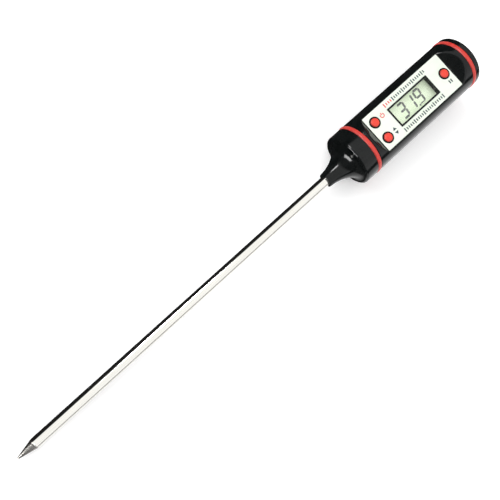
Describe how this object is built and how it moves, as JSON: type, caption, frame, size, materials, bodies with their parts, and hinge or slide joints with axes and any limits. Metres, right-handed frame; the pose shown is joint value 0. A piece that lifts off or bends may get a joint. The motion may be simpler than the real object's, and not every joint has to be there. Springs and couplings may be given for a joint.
{
  "type": "soil thermometer probe",
  "caption": "Pen-type digital soil thermometer: a long pointed steel probe on a round handle with a display, push buttons and a screw-off battery cap.",
  "frame": {"origin": "on the probe's axis at the neck face, where the probe leaves the handle", "axes": "+X from the point to the battery cap, +Z out of the display, Y across the handle"},
  "size_m": [0.2195, 0.022, 0.022],
  "materials": {
    "polished_steel": "polished stainless",
    "gloss_black": "glossy moulded ABS",
    "red_seal": "satin silicone",
    "label_white": "printed polycarbonate film",
    "bezel_black": "glossy",
    "clear_window": "clear acrylic",
    "lcd_glass": "polarised glass",
    "lcd_silver": "grey-green reflector film",
    "button_red": "satin silicone",
    "holder_white": "moulded nylon",
    "chassis_grey": "moulded ABS",
    "zebra_rubber": "silicone with carbon lines",
    "board_green": "solder mask on glass fibre",
    "epoxy_black": "cured epoxy",
    "component_body": "sintered ceramic",
    "plated_metal": "bright nickel plate",
    "spring_brass": "rolled strip",
    "switch_black": "moulded nylon",
    "switch_plunger": "moulded acetal",
    "lead_red": "PVC insulation",
    "lead_white": "PVC insulation",
    "heat_paste": "set thermal compound"
  },
  "bodies": {
    "handle": {"probe_tube": "polished_steel", "probe_tip": "polished_steel", "nose_cone": "gloss_black", "barrel": "gloss_black", "nose_seal_ring": "red_seal", "face_label": "label_white", "display_bezel": "bezel_black", "display_window": "clear_window", "lcd_front_glass": "lcd_glass", "lcd_back_glass": "lcd_glass", "lcd_reflector": "lcd_silver", "lcd_holder": "holder_white", "chassis": "chassis_grey", "zebra_strip_left": "zebra_rubber", "zebra_strip_right": "zebra_rubber", "circuit_board": "board_green", "chip_blob": "epoxy_black", "epoxy_seal": "epoxy_black", "board_resistors": "component_body", "board_capacitors": "component_body", "thermistor_bead": "component_body", "timing_crystal": "plated_metal", "board_screws": "plated_metal", "battery_spring": "plated_metal", "negative_contact": "plated_metal", "positive_contact": "spring_brass", "probe_ferrule": "spring_brass", "power_switch": "switch_black", "unit_switch": "switch_black", "hold_switch": "switch_black", "sensor_lead_left": "lead_red", "sensor_lead_right": "lead_white", "heat_paste": "heat_paste"},
    "power_button": {"power_button": "button_red", "power_switch_plunger": "switch_plunger"},
    "unit_button": {"unit_button": "button_red", "unit_switch_plunger": "switch_plunger"},
    "hold_button": {"hold_button": "button_red", "hold_switch_plunger": "switch_plunger"},
    "cap_ring": {"cap_seal_ring": "red_seal", "battery": "plated_metal"},
    "battery_cap": {"battery_cap": "gloss_black"}
  },
  "joints": [
    {"name": "power_press", "type": "slide", "parent": "handle", "child": "power_button", "axis": [0, 0, -1], "range_m": [0, 0.0005], "stiffness_N_per_m": 1500},
    {"name": "unit_press", "type": "slide", "parent": "handle", "child": "unit_button", "axis": [0, 0, -1], "range_m": [0, 0.0005], "stiffness_N_per_m": 1500},
    {"name": "hold_press", "type": "slide", "parent": "handle", "child": "hold_button", "axis": [0, 0, -1], "range_m": [0, 0.0005], "stiffness_N_per_m": 1500},
    {"name": "cap_travel", "type": "slide", "parent": "handle", "child": "cap_ring", "axis": [1, 0, 0], "range_m": [0, 0.00267]},
    {"name": "cap_turn", "type": "hinge", "parent": "cap_ring", "child": "battery_cap", "pos_m": [0.072, 0, 0], "axis": [1, 0, 0], "range_deg": [0, 480]}
  ],
  "couplings": [
    {"joint": "cap_turn", "follows": "cap_travel", "rad_per_m": 3141.6}
  ]
}
